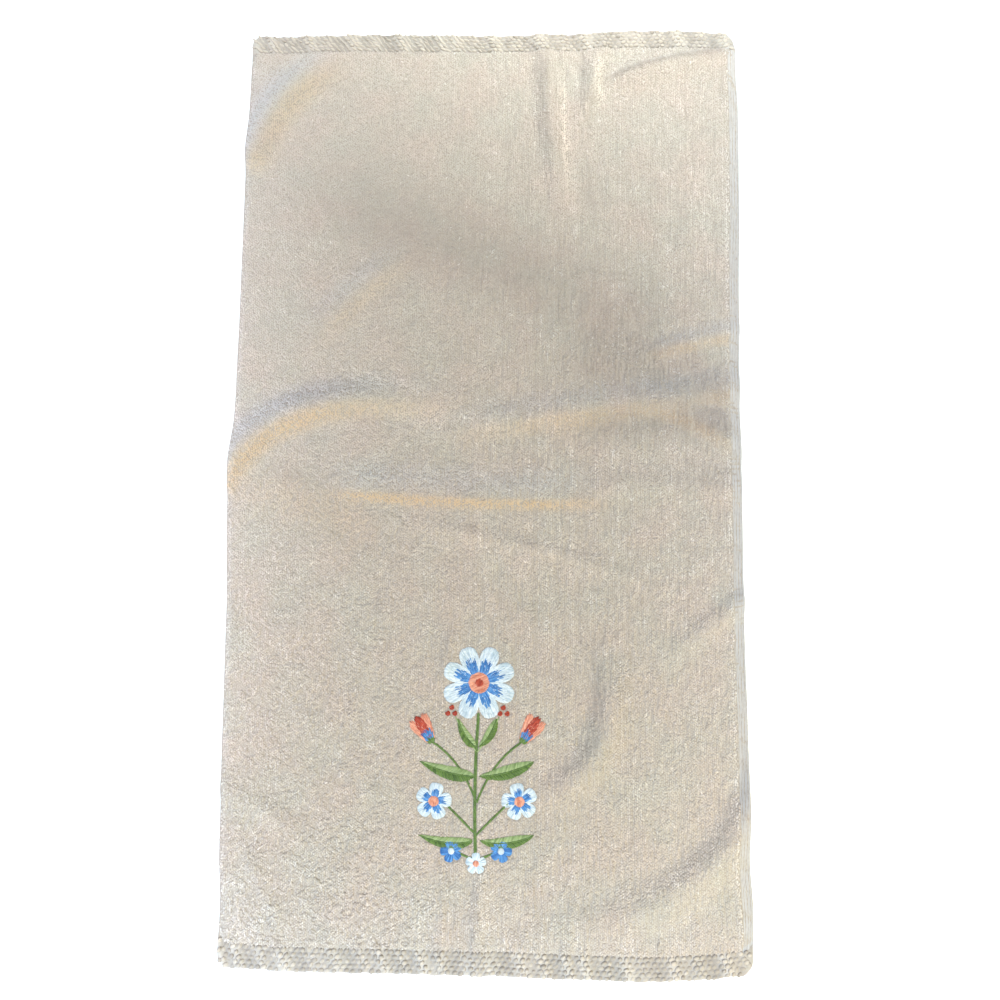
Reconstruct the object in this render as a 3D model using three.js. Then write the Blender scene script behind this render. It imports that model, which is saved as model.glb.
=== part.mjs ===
// A hand towel of terry cloth, laid out face up on a flat surface.
// It is one piece of cloth: a pile field between two flat-woven end hems and two side selvedges.
// Millimetres, +X across the towel, +Y along it to the far hem, +Z up.
// The origin is the centre of the towel's footprint, on the surface that it lies on.
import * as THREE from "three";

// Driving dimensions of the cloth.
const clothWidth = 406;
const clothLength = 762;
const pileThickness = 3;
const hemThickness = 2.2;
const selvedgeThickness = 1.8;
const nearHemDepth = 18;
const farHemDepth = 15.5;
const leftSelvedge = 3.5; // what shows of it, because it rolls under the pile
const rightSelvedge = 8.5;
const pileShoulder = 1.6; // the run over which the pile drops to a hem or a selvedge
const cornerRadius = 9;
const edgeRoundness = 0.7; // how far the middle of the turned edge bulges past its top and bottom

// Size of the mesh cells.
const cellAcross = 12.4;
const cellAlong = 12.2;
const finestCell = 2.4; // beside a hem or a selvedge
const curveSamples = 28;

// Above 1, a fold's crest is narrower than an even wave.
const foldPinch = 1.6;

// How far each side edge lies outside half the cloth's width, at places along the towel.
const sideEdges = [
  { along: -382, leftOut: 0, rightOut: -1 },
  { along: -345, leftOut: -0.5, rightOut: 0 },
  { along: -300, leftOut: 1.8, rightOut: -2 },
  { along: -210, leftOut: 3, rightOut: -1 },
  { along: -120, leftOut: 3.6, rightOut: -2 },
  { along: -20, leftOut: 6.5, rightOut: -1.6 },
  { along: 75, leftOut: 3.2, rightOut: -2 },
  { along: 145, leftOut: 2.6, rightOut: -0.6 },
  { along: 250, leftOut: 2.4, rightOut: 1.7 },
  { along: 320, leftOut: 1, rightOut: 2.3 },
  { along: 380, leftOut: 0.4, rightOut: 0 },
];

// How far each end edge lies outside half the cloth's length, at places across the towel.
const endEdges = [
  { across: -205, nearOut: -5, farOut: -6 },
  { across: -180, nearOut: -3.6, farOut: -7 },
  { across: -150, nearOut: -1.8, farOut: -5.6 },
  { across: -100, nearOut: -1, farOut: -4.3 },
  { across: 0, nearOut: 0.3, farOut: -4.4 },
  { across: 60, nearOut: 2.3, farOut: -2.6 },
  { across: 120, nearOut: 3.9, farOut: 1 },
  { across: 165, nearOut: 2.2, farOut: 1.4 },
  { across: 190, nearOut: -0.6, farOut: -0.4 },
  { across: 205, nearOut: -2.4, farOut: -2.6 },
];

// The folds and swells that lift the cloth off the surface. Each crest is a curve from one point,
// pulled towards a second, to a third. left and right are how far the slopes reach to either hand,
// walking from start to end, and an end fades out over a share of the crest.
const folds = [
  // the old fold across the middle, and the branch that bends down beside the right edge
  { crest: [-216, -4, -172, 84, -4, 56], rise: 8.6, left: 28, right: 22, fadeStart: 0, fadeEnd: 0.7 },
  { crest: [-62, 32, 60, 56, 216, 76], rise: 3.4, left: 25, right: 22, fadeStart: 0.35, fadeEnd: 0 },
  { crest: [106, 60, 176, 58, 214, 6], rise: 3.2, left: 30, right: 14, fadeStart: 0.4, fadeEnd: 0 },
  // the second, lower fold beside it
  { crest: [-142, -8, -20, -23, 118, -16], rise: 2.6, left: 34, right: 13, fadeStart: 0.2, fadeEnd: 0.35 },
  { crest: [60, -10, 150, -6, 216, -8], rise: 2, left: 22, right: 20, fadeStart: 0.4, fadeEnd: 0 },
  // the far left corner, which tips down outside a slanting crest
  { crest: [-206, 250, -186, 336, -112, 362], rise: 8.4, left: 27, right: 27, fadeStart: 0.15, fadeEnd: 0.45 },
  // two upright ripples under the far hem and the bent corner beside them
  { crest: [44, 392, 42, 292, 66, 202], rise: 6.6, left: 18, right: 18, fadeStart: 0.26, fadeEnd: 0.45 },
  { crest: [100, 396, 84, 350, 74, 286], rise: 6.4, left: 15, right: 15, fadeStart: 0.5, fadeEnd: 0.4 },
  { crest: [88, 330, 130, 358, 216, 363], rise: 5.4, left: 10, right: 28, fadeStart: 0.3, fadeEnd: 0 },
  // the ring of swells round the sewn flowers
  { crest: [88, -124, 120, -236, 20, -254], rise: 6.6, left: 26, right: 22, fadeStart: 0.35, fadeEnd: 0.4 },
  { crest: [216, -90, 180, -110, 132, -150], rise: 3.4, left: 17, right: 18, fadeStart: 0, fadeEnd: 0.5 },
  { crest: [216, -222, 182, -348, 14, -348], rise: 7.8, left: 30, right: 25, fadeStart: 0, fadeEnd: 0.85 },
  { crest: [-30, -112, -30, -140, -38, -172], rise: 2.4, left: 13, right: 9, fadeStart: 0.4, fadeEnd: 0.4 },
  { crest: [0, -284, -8, -316, -8, -392], rise: 2.6, left: 15, right: 9, fadeStart: 0.4, fadeEnd: 0 },
  { crest: [-216, -240, -160, -262, -104, -304], rise: 2, left: 18, right: 12, fadeStart: 0, fadeEnd: 0.5 },
  { crest: [-190, -278, -172, -316, -152, -356], rise: 2.4, left: 14, right: 8, fadeStart: 0.4, fadeEnd: 0.3 },
  // two faint slanting folds, one each side
  { crest: [-158, 104, -118, 148, -58, 194], rise: 2.4, left: 24, right: 22, fadeStart: 0.4, fadeEnd: 0.4 },
  { crest: [112, 98, 160, 112, 216, 124], rise: 2, left: 16, right: 12, fadeStart: 0.4, fadeEnd: 0 },
];

const halfWidth = clothWidth / 2;
const halfLength = clothLength / 2;

// A smooth step from 0 to 1 as x goes from low to high.
function ease(x, low, high) {
  return THREE.MathUtils.smoothstep(x, low, high);
}

// Reads a column of a table at a place between its rows, with no kinks.
function readTable(table, placeName, valueName, place) {
  const next = table.findIndex((row) => row[placeName] >= place);
  if (next === 0) return table[0][valueName];
  if (next < 0) return table[table.length - 1][valueName];
  const before = table[next - 1];
  const after = table[next];
  const share = ease(place, before[placeName], after[placeName]);
  return THREE.MathUtils.lerp(before[valueName], after[valueName], share);
}

// What a rounded corner takes off an end edge, at a distance from the side edge.
function cornerCut(fromSide) {
  const inside = Math.max(0, cornerRadius - fromSide);
  return cornerRadius - Math.sqrt(cornerRadius ** 2 - inside ** 2);
}

// The place in plan of a point of the cloth, given its distances from the left and near edges.
function laidOut(fromLeft, fromNear) {
  const across = fromLeft - halfWidth;
  const along = fromNear - halfLength;
  const acrossShare = fromLeft / clothWidth;
  const alongShare = fromNear / clothLength;
  const left = -halfWidth - readTable(sideEdges, "along", "leftOut", along);
  const right = halfWidth + readTable(sideEdges, "along", "rightOut", along);
  const cut = cornerCut(Math.min(fromLeft, clothWidth - fromLeft));
  const near = -halfLength - readTable(endEdges, "across", "nearOut", across) + cut;
  const far = halfLength + readTable(endEdges, "across", "farOut", across) - cut;
  return new THREE.Vector2(
    THREE.MathUtils.lerp(left, right, acrossShare),
    THREE.MathUtils.lerp(near, far, alongShare),
  );
}

// Each crest as a row of short straight steps, in plan.
const crests = folds.map((fold) => {
  const [startX, startY, bendX, bendY, endX, endY] = fold.crest;
  const curve = new THREE.QuadraticBezierCurve(
    new THREE.Vector2(startX, startY),
    new THREE.Vector2(bendX, bendY),
    new THREE.Vector2(endX, endY),
  );
  return curve.getSpacedPoints(curveSamples);
});

// The nearest point of a crest: its distance, its side, and the share of the crest behind it.
function nearestOnCrest(points, place) {
  let best = { distance: Infinity, side: 1, share: 0 };
  for (let i = 0; i < points.length - 1; i += 1) {
    const step = points[i + 1].clone().sub(points[i]);
    const offset = place.clone().sub(points[i]);
    const along = THREE.MathUtils.clamp(offset.dot(step) / step.lengthSq(), 0, 1);
    const distance = offset.distanceTo(step.clone().multiplyScalar(along));
    if (distance < best.distance) {
      best = { distance, side: Math.sign(step.cross(offset)), share: (i + along) / (points.length - 1) };
    }
  }
  return best;
}

// How high a fold lifts the cloth at a place.
function foldLift(fold, crest, place) {
  const { distance, side, share } = nearestOnCrest(crest, place);
  const reach = side >= 0 ? fold.left : fold.right;
  if (distance >= reach) return 0;
  const slope = ((1 + Math.cos((Math.PI * distance) / reach)) / 2) ** foldPinch;
  const start = fold.fadeStart ? ease(share, 0, fold.fadeStart) : 1;
  const end = fold.fadeEnd ? 1 - ease(share, 1 - fold.fadeEnd, 1) : 1;
  return fold.rise * slope * start * end;
}

// The height of the cloth's underside at a place: 0 where it lies on the surface.
function undersideHeight(place) {
  return folds.reduce((height, fold, i) => height + foldLift(fold, crests[i], place), 0);
}

// The cloth's thickness at distances from its left and near edges: thinner in the hems and selvedges.
function thicknessAt(fromLeft, fromNear) {
  const rise = (from, edge) => ease(from, edge - pileShoulder / 2, edge + pileShoulder / 2);
  const acrossField = rise(fromLeft, leftSelvedge) * rise(clothWidth - fromLeft, rightSelvedge);
  const alongField = rise(fromNear, nearHemDepth) * rise(clothLength - fromNear, farHemDepth);
  const flatWoven = THREE.MathUtils.lerp(hemThickness, selvedgeThickness, alongField);
  return THREE.MathUtils.lerp(flatWoven, pileThickness, acrossField * alongField);
}

// Grid lines over a length: close beside the flat-woven borders, even over the pile field.
function gridLines(length, startBorder, endBorder, cell) {
  const edgeLines = (border) => {
    const cells = Math.max(1, Math.round((border - pileShoulder / 2) / (2 * finestCell)));
    const inner = border - pileShoulder / 2;
    const lines = Array.from({ length: cells + 1 }, (_, i) => (inner * i) / cells);
    return [...lines, border + pileShoulder / 2, border + pileShoulder / 2 + finestCell];
  };
  const start = edgeLines(startBorder);
  const end = edgeLines(endBorder).map((line) => length - line).reverse();
  const from = start.pop();
  const to = end.shift();
  const cells = Math.round((to - from) / cell);
  const field = Array.from({ length: cells + 1 }, (_, i) => from + ((to - from) * i) / cells);
  return [...start, ...field, ...end];
}

// The sheet is a box of many cells, each of whose points is moved to its place on the cloth.
function towelGeometry() {
  const columns = gridLines(clothWidth, leftSelvedge, rightSelvedge, cellAcross);
  const rows = gridLines(clothLength, nearHemDepth, farHemDepth, cellAlong);
  const box = new THREE.BoxGeometry(1, 1, 1, columns.length - 1, rows.length - 1, 2);
  const point = new THREE.Vector3();
  const points = box.getAttribute("position");
  for (let i = 0; i < points.count; i += 1) {
    point.fromBufferAttribute(points, i);
    const fromLeft = columns[Math.round((point.x + 0.5) * (columns.length - 1))];
    const fromNear = rows[Math.round((point.y + 0.5) * (rows.length - 1))];
    const place = laidOut(fromLeft, fromNear);
    const height = undersideHeight(place) + thicknessAt(fromLeft, fromNear) * (point.z + 0.5);
    if (point.z === 0) {
      // the middle ring of the turned edge
      place.x += edgeRoundness * Math.sign(point.x) * (Math.abs(point.x) === 0.5 ? 1 : 0);
      place.y += edgeRoundness * Math.sign(point.y) * (Math.abs(point.y) === 0.5 ? 1 : 0);
    }
    points.setXYZ(i, place.x, place.y, height);
  }
  // the origin is the centre of the footprint
  box.computeBoundingBox();
  const centre = box.boundingBox.getCenter(new THREE.Vector3());
  box.translate(-centre.x, -centre.y, -box.boundingBox.min.z);
  box.computeVertexNormals();
  return box;
}

const terry = new THREE.MeshStandardMaterial({ color: "#cfc3b0", roughness: 0.95, metalness: 0 });

const towel = new THREE.Mesh(towelGeometry(), terry);
towel.name = "towel";

const handTowel = new THREE.Group();
handTowel.name = "hand_towel";
handTowel.add(towel);

export default handTowel;
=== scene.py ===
import math

import bmesh
import bpy
import numpy as np
from mathutils import Matrix, Vector, noise


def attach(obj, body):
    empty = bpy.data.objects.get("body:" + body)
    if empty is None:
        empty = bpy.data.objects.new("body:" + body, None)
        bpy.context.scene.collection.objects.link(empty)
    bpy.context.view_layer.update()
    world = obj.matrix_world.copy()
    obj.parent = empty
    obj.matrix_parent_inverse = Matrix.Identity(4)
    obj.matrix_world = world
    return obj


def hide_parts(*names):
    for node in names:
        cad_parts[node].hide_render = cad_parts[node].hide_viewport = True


# Hand towel of oatmeal velour terry, laid out face up, with an embroidered sprig near its near hem.
# Tables are in millimetres, as the cloth is measured, and become metres when a mesh is written.
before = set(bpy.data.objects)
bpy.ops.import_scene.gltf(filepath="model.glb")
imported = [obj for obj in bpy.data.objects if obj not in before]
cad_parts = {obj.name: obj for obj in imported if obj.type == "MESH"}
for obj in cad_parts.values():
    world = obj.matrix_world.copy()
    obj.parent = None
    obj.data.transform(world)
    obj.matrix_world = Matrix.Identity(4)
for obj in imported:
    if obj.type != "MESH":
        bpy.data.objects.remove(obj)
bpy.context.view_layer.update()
mm = 0.001
rng = np.random.default_rng(seed=11)
print("frame loaded")

cloth = {
    "width": 406,
    "length": 762,
    "nearHem": 18,
    "farHem": 15.5,
    "leftSelvedge": 3.5,  # what shows of it, because it rolls under the pile
    "rightSelvedge": 8.5,
    "groundThickness": 2.35,  # where the pile is rooted
    "hemThickness": 1.95,
    "selvedgeThickness": 1.6,
    "shoulder": 1.8,  # the run over which the pile drops to a hem
    "corner": 9,
    "pinch": 1.6,  # above 1 a fold's crest is narrower than an even wave
    "crestPoints": 29,
    "cellAcross": 3.7,
    "cellAlong": 4.2,
}

# along, and how far the left and the right edge lie outside half the width there
sideEdges = [
    (-382, 0, -1), (-345, -0.5, 0), (-300, 1.8, -2), (-210, 3, -1), (-120, 3.6, -2), (-20, 6.5, -1.6),
    (75, 3.2, -2), (145, 2.6, -0.6), (250, 2.4, 1.7), (320, 1, 2.3), (380, 0.4, 0),
]

# across, and how far the near and the far edge lie outside half the length there
endEdges = [
    (-205, -5, -6), (-180, -3.6, -7), (-150, -1.8, -5.6), (-100, -1, -4.3), (0, 0.3, -4.4),
    (60, 2.3, -2.6), (120, 3.9, 1), (165, 2.2, 1.4), (190, -0.6, -0.4), (205, -2.4, -2.6),
]

# crest as start, bend and end; height; reach to its left and its right hand; fade at each end
folds = [
    ((-216, -4, -172, 84, -4, 56), 8.6, 28, 22, 0, 0.7),  # the old fold across the middle
    ((-62, 32, 60, 56, 216, 76), 3.4, 25, 22, 0.35, 0),
    ((106, 60, 176, 58, 214, 6), 3.2, 30, 14, 0.4, 0),
    ((-142, -8, -20, -23, 118, -16), 2.6, 34, 13, 0.2, 0.35),  # the lower fold beside it
    ((60, -10, 150, -6, 216, -8), 2, 22, 20, 0.4, 0),
    ((-206, 250, -186, 336, -112, 362), 8.4, 27, 27, 0.15, 0.45),  # the far left corner
    ((44, 392, 42, 292, 66, 202), 6.6, 18, 18, 0.26, 0.45),  # upright ripples under the far hem
    ((100, 396, 84, 350, 74, 286), 6.4, 15, 15, 0.5, 0.4),
    ((88, 330, 130, 358, 216, 363), 5.4, 10, 28, 0.3, 0),
    ((88, -124, 120, -236, 20, -254), 6.6, 26, 22, 0.35, 0.4),  # swells round the sprig
    ((216, -90, 180, -110, 132, -150), 3.4, 17, 18, 0, 0.5),
    ((216, -222, 182, -348, 14, -348), 7.8, 30, 25, 0, 0.85),
    ((-30, -112, -30, -140, -38, -172), 2.4, 13, 9, 0.4, 0.4),
    ((0, -284, -8, -316, -8, -392), 2.6, 15, 9, 0.4, 0),
    ((-216, -240, -160, -262, -104, -304), 2, 18, 12, 0, 0.5),
    ((-190, -278, -172, -316, -152, -356), 2.4, 14, 8, 0.4, 0.3),
    ((-158, 104, -118, 148, -58, 194), 2.4, 24, 22, 0.4, 0.4),
    ((112, 98, 160, 112, 216, 124), 2, 16, 12, 0.4, 0),
]

# finer creases, too low for the solid
creases = [
    ((-98, -34, 26, -48, 156, -94), 1.7, 12, 10, 0.4, 0.4),
    ((-32, -306, -34, -334, -34, -392), 1.9, 8, 14, 0.4, 0),
    ((186, 360, 196, 336, 204, 292), 2, 8, 14, 0.3, 0.4),
    ((92, 276, 96, 250, 100, 214), 1.8, 10, 8, 0.4, 0.4),
    ((-190, 60, -140, 128, -60, 150), 0.6, 16, 12, 0.4, 0.4),
    ((-30, 170, 40, 150, 96, 168), 0.7, 18, 14, 0.4, 0.4),
    ((-150, 250, -128, 210, -130, 176), 0.7, 14, 12, 0.4, 0.4),
    ((150, 300, 158, 252, 150, 214), 0.7, 11, 11, 0.4, 0.4),
    ((14, 376, 10, 352, 16, 322), 0.9, 7, 8, 0.1, 0.6),
    ((-60, 376, -58, 352, -66, 330), 0.8, 8, 7, 0.1, 0.6),
    ((140, 376, 144, 356, 138, 332), 0.9, 7, 7, 0.1, 0.6),
    ((-196, -120, -150, -132, -110, -118), 0.8, 14, 14, 0.4, 0.4),
    ((-180, -190, -140, -182, -104, -204), 0.7, 14, 13, 0.4, 0.4),
    ((130, -200, 152, -226, 196, -226), 0.8, 14, 13, 0.4, 0.4),
    ((-120, -382, -122, -350, -112, -326), 0.9, 8, 9, 0.1, 0.6),
    ((-76, -384, -70, -352, -76, -334), 0.8, 7, 8, 0.1, 0.6),
    ((60, -386, 66, -356, 58, -336), 0.8, 8, 7, 0.1, 0.6),
    ((132, -386, 128, -360, 134, -340), 0.9, 8, 8, 0.1, 0.6),
]

# Shape of the cloth

def ease(x, low, high):
    t = np.clip((x - low) / (high - low), 0, 1)
    return t * t * (3 - 2 * t)


def readTable(rows, column, place):
    table = np.array(rows, float)
    place = np.clip(place, table[0, 0], table[-1, 0])
    after = np.clip(np.searchsorted(table[:, 0], place), 1, len(table) - 1)
    share = ease(place, table[after - 1, 0], table[after, 0])
    return table[after - 1, column] * (1 - share) + table[after, column] * share


def cornerCut(fromSide):
    inside = np.maximum(0, cloth["corner"] - fromSide)
    return cloth["corner"] - np.sqrt(cloth["corner"] ** 2 - inside ** 2)


# The wave of puckers along a hem. A pace is the run for one radian of it.
hemWave = {
    "pace": 2.75,
    "drift": 1.6,
    "driftPace": 23,
    "edge": 0.4,  # how far it draws the hem's edge in and out
    "fineEdge": 0.2,
    "finePace": 1.1,
    "reach": 12,  # how far from the edge this is felt
}


def waveAlong(fromLeft):
    return np.sin(fromLeft / hemWave["pace"] + hemWave["drift"] * np.sin(fromLeft / hemWave["driftPace"]))


def hemWobble(fromLeft):
    # the hem's edge is drawn in between its puckers
    fine = np.sin(fromLeft / hemWave["finePace"])
    return hemWave["edge"] * waveAlong(fromLeft) + hemWave["fineEdge"] * fine


def laidOut(fromLeft, fromNear):
    # where a point of the flat cloth lies in plan, before the towel is centred
    halfWidth, halfLength = cloth["width"] / 2, cloth["length"] / 2
    along, across = fromNear - halfLength, fromLeft - halfWidth
    left = -halfWidth - readTable(sideEdges, 1, along)
    right = halfWidth + readTable(sideEdges, 2, along)
    cut = cornerCut(np.clip(np.minimum(fromLeft, cloth["width"] - fromLeft), 0, None))
    near = -halfLength - readTable(endEdges, 1, across) + cut
    far = halfLength + readTable(endEdges, 2, across) - cut
    acrossShare, alongShare = fromLeft / cloth["width"], fromNear / cloth["length"]
    x = left + (right - left) * acrossShare
    y = near + (far - near) * alongShare
    wobble = hemWobble(fromLeft)
    nearEase, farEase = (ease(run, 0, hemWave["reach"]) for run in (fromNear, cloth["length"] - fromNear))
    y = y + wobble * (1 - nearEase) - wobble * (1 - farEase)
    return x, y


# points round the laid-out rim, which centre the towel's footprint
edge = np.linspace(0, 1, 801)
zeros, acrossAll, alongAll = edge * 0, edge * cloth["width"], edge * cloth["length"]
ring = [
    laidOut(acrossAll, zeros), laidOut(acrossAll, zeros + cloth["length"]),
    laidOut(zeros, alongAll), laidOut(zeros + cloth["width"], alongAll),
]
shiftX = -(min(r[0].min() for r in ring) + max(r[0].max() for r in ring)) / 2
shiftY = -(min(r[1].min() for r in ring) + max(r[1].max() for r in ring)) / 2


def bendThrough(crest, count, fine=200):
    # evenly spaced points on the curve from a start, pulled towards a bend, to an end
    start, bend, end = (np.array(crest[i:i + 2], float) for i in (0, 2, 4))
    t = np.linspace(0, 1, fine)[:, None]
    points = start * (1 - t) ** 2 + bend * 2 * t * (1 - t) + end * t ** 2
    run = np.concatenate([[0], np.cumsum(np.linalg.norm(np.diff(points, axis=0), axis=1))])
    even = np.linspace(0, run[-1], count)
    return np.stack([np.interp(even, run, points[:, 0]), np.interp(even, run, points[:, 1])], 1)


def foldLift(fold, x, y):
    crest, rise, leftReach, rightReach, fadeStart, fadeEnd = fold
    points = bendThrough(crest, cloth["crestPoints"])
    best = np.full(x.shape, np.inf)
    side = np.ones(x.shape)
    share = np.zeros(x.shape)
    for i, (a, b) in enumerate(zip(points[:-1], points[1:])):
        step = b - a
        dx, dy = x - a[0], y - a[1]
        along = np.clip((dx * step[0] + dy * step[1]) / (step @ step), 0, 1)
        distance = np.hypot(dx - along * step[0], dy - along * step[1])
        nearer = distance < best
        best = np.where(nearer, distance, best)
        side = np.where(nearer, np.sign(step[0] * dy - step[1] * dx), side)
        share = np.where(nearer, (i + along) / (len(points) - 1), share)
    reach = np.where(side >= 0, leftReach, rightReach)
    slope = ((1 + np.cos(np.pi * np.minimum(best / reach, 1))) / 2) ** cloth["pinch"]
    start = ease(share, 0, fadeStart) if fadeStart else 1
    end = 1 - ease(share, 1 - fadeEnd, 1) if fadeEnd else 1
    return rise * slope * start * end


# The lift is worked out once on an even map, in the towel's own place, and read from there.
mapStep = 2.0
mapReach = {"across": 224, "along": 404}
mapX = np.arange(-mapReach["across"], mapReach["across"] + 1, mapStep)
mapY = np.arange(-mapReach["along"], mapReach["along"] + 1, mapStep)
gridX, gridY = np.meshgrid(mapX, mapY)
laidX, laidY = gridX - shiftX, gridY - shiftY  # where the tables have these points
lowLift = sum(foldLift(fold, laidX, laidY) for fold in folds)

# size, seed and height of the lumps in which the cloth lies
uneven = {"swells": (46, 3.1, 0.75), "dents": (21, 8.2, 0.5), "grain": (9, 5.5, 0.22)}
fineShare = 0.8  # of the fine lift, that the cloth takes on


def lumps(kind):
    size, seed, high = uneven[kind]
    values = [noise.noise(Vector((x / size, y / size, seed))) for y in mapY for x in mapX]
    return np.array(values).reshape(gridX.shape) * high


fineLift = sum(foldLift(fold, laidX, laidY) for fold in creases)
fineLift = fineLift + np.abs(lumps("swells")) + lumps("dents") + lumps("grain")
fineLift = fineLift - fineLift.min()


def readMap(values, x, y):
    # the value between the map's four nearest points; 1.001 keeps it a hair inside the last ones
    column = np.clip((x - mapX[0]) / mapStep, 0, len(mapX) - 1.001)
    row = np.clip((y - mapY[0]) / mapStep, 0, len(mapY) - 1.001)
    c, r = column.astype(int), row.astype(int)
    u, v = column - c, row - r
    low = values[r, c] * (1 - u) + values[r, c + 1] * u
    high = values[r + 1, c] * (1 - u) + values[r + 1, c + 1] * u
    return low * (1 - v) + high * v


slopeY, slopeX = np.gradient(lowLift + fineLift, mapStep)

# The old folds are painted with light: a painted cool light on their far side and a painted warm light on
# their near side.
paintedFoldLight = {
    # row in the table of folds, and how strongly its sides are painted with light
    "folds": [(0, 0.98), (1, 1.1), (2, 1.3), (3, 2.7), (5, 0.8), (16, 1.3), (17, 1.3)],
    "towards": (-0.4, 0.92),
    "steep": 0.6,  # the slope at which the painted light is full
    "most": 1.4,
}
oldLift = sum(foldLift(folds[row], laidX, laidY) * share for row, share in paintedFoldLight["folds"])
oldSlopeY, oldSlopeX = np.gradient(oldLift, mapStep)
cast = (oldSlopeX * paintedFoldLight["towards"][0] + oldSlopeY * paintedFoldLight["towards"][1]) / paintedFoldLight["steep"]
cast = np.clip(cast, -paintedFoldLight["most"], paintedFoldLight["most"])

# Patches of painted warm light, or painted cool light below nought. They are written as folds are, but round
# the towel's own origin.
paintedLightPatches = [
    ((-206, -6, -150, -20, -60, -40), 0.36, 42, 46, 0.15, 0.4),
    ((-204, -300, -190, -350, -150, -366), -0.22, 40, 46, 0.2, 0.4),
    ((-180, 356, -196, 310, -200, 250), -0.34, 26, 26, 0.2, 0.3),
    ((40, 36, 80, 44, 110, 48), 0.2, 30, 30, 0.3, 0.3),
    ((-150, -10, -110, -50, -84, -84), 0.12, 34, 34, 0.3, 0.3),
]
cast = cast + sum(foldLift(patch, gridX, gridY) for patch in paintedLightPatches)

# Painted shade along the folds' shaded sides and in broad soft bands, or painted highlight below nought.
# They are written as the patches are.
paintedShadeStrokes = [
    ((-190, 262, -40, 190, 190, 104), 0.39, 80, 66, 0.35, 0.2),
    ((24, 112, 110, 88, 216, 66), 0.45, 62, 56, 0.4, 0),
    ((50, 40, 120, 50, 216, 42), 0.46, 24, 34, 0.35, 0),
    ((-136, 84, -90, 84, -30, 64), -0.24, 12, 12, 0.3, 0.4),
    ((-156, -10, -110, -46, -84, -84), 0.1, 30, 34, 0.3, 0.3),
    ((126, -6, 170, 0, 214, 4), 0.13, 26, 30, 0.3, 0),
    ((20, -342, 90, -336, 160, -326), 0.12, 34, 30, 0.3, 0.3),
    ((-186, 12, -150, -4, -116, -10), 0.22, 15, 18, 0.3, 0.3),
    ((-205, -300, -190, -350, -150, -370), -0.12, 44, 50, 0.2, 0.3),
    ((176, 290, 176, 220, 180, 150), -0.15, 30, 30, 0.3, 0.3),
    ((-96, 52, -30, 44, 40, 44), -0.24, 20, 22, 0.3, 0.3),
    ((-60, -44, 20, -66, 110, -66), -0.16, 52, 50, 0.4, 0.4),
    ((86, -132, 90, -176, 76, -214), 0.3, 11, 9, 0.3, 0.3),
    ((86, 332, 118, 356, 206, 365), 0.6, 6, 7, 0.2, 0.1),
    ((46, 372, 44, 306, 49, 250), 0.3, 7, 7, 0.2, 0.4),
    ((61, 360, 60, 290, 68, 216), -0.6, 7, 8, 0.3, 0.4),
    ((77, 372, 77, 346, 77, 320), 0.4, 5, 5, 0.2, 0.4),
    ((90, 366, 91, 335, 93, 306), -0.6, 8, 9, 0.3, 0.4),
    ((81, 270, 83, 238, 85, 202), 0.2, 9, 9, 0.4, 0.4),
    ((193, 360, 194, 340, 196, 310), 0.3, 4, 5, 0.3, 0.4),
]
shade = sum(foldLift(stroke, gridX, gridY) for stroke in paintedShadeStrokes)

lively = {
    # along, and how lively the nap is towards the left and towards the right edge
    "rows": [(-340, 2.8, 1.5), (-180, 2.3, 1.65), (0, 1.65, 1.75), (120, 1.1, 1.8), (260, 0.8, 1.5)],
    "side": 180,  # how far from the middle the two hold in full
}


def livelyAt(x, y):
    left, right = (readTable(lively["rows"], column, y) for column in (1, 2))
    rightward = ease(x, -lively["side"], lively["side"])
    return left * (1 - rightward) + right * rightward


def fromEdges(fromLeft, fromNear):
    across = np.minimum(fromLeft, cloth["width"] - fromLeft)
    return np.minimum(across, np.minimum(fromNear, cloth["length"] - fromNear))


def pileShare(fromLeft, fromNear):
    # 1 on the pile field, 0 on the hems and selvedges
    def rise(distance, border):
        return ease(distance, border - cloth["shoulder"] / 2, border + cloth["shoulder"] / 2)
    return (
        rise(fromLeft, cloth["leftSelvedge"]) * rise(cloth["width"] - fromLeft, cloth["rightSelvedge"])
        * rise(fromNear, cloth["nearHem"]) * rise(cloth["length"] - fromNear, cloth["farHem"])
    )


# Puckers where the hem was turned and sewn: the hem's wave, deeper in some places, and a second wave
pucker = {
    "deep": 1.2,
    "even": 0.65,
    "uneven": 0.45,
    "slowPace": 17.3,
    "slowStart": 1.2,
    "quickPace": 9.1,
    "second": 0.55,
    "secondPace": 6.1,
    "lowest": -1,
    "slant": 0.35,  # how far they run along the hem for each millimetre across it
    "near": (1.35, 11),  # height on the near and the far hem, and how far they are felt from its middle
    "far": (1.15, 10),
    "groove": (0.55, 1.5),  # depth and width of the one along each hem's inner edge
    "rim": 0.25,  # how much of the fine lift is left at the rim, which lies down
    "rimRun": 14,
}


def puckerAt(fromLeft, fromNear, offset=0):
    place = fromLeft + pucker["slant"] * fromNear + offset
    slow = np.sin(place / pucker["slowPace"] + pucker["slowStart"])
    depth = pucker["even"] + pucker["uneven"] * slow * np.sin(place / pucker["quickPace"])
    second = pucker["second"] * np.sin(place / pucker["secondPace"])
    return np.maximum(pucker["deep"] * depth * waveAlong(place) + second, pucker["lowest"])


def bell(distance, wide):
    return np.exp(-(distance / wide) ** 2)


def hemShare(fromNear):
    half, fromFar = cloth["shoulder"] / 2, cloth["length"] - fromNear
    return 1 - (
        ease(fromNear, cloth["nearHem"] - half, cloth["nearHem"] + half)
        * ease(fromFar, cloth["farHem"] - half, cloth["farHem"] + half)
    )


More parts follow.
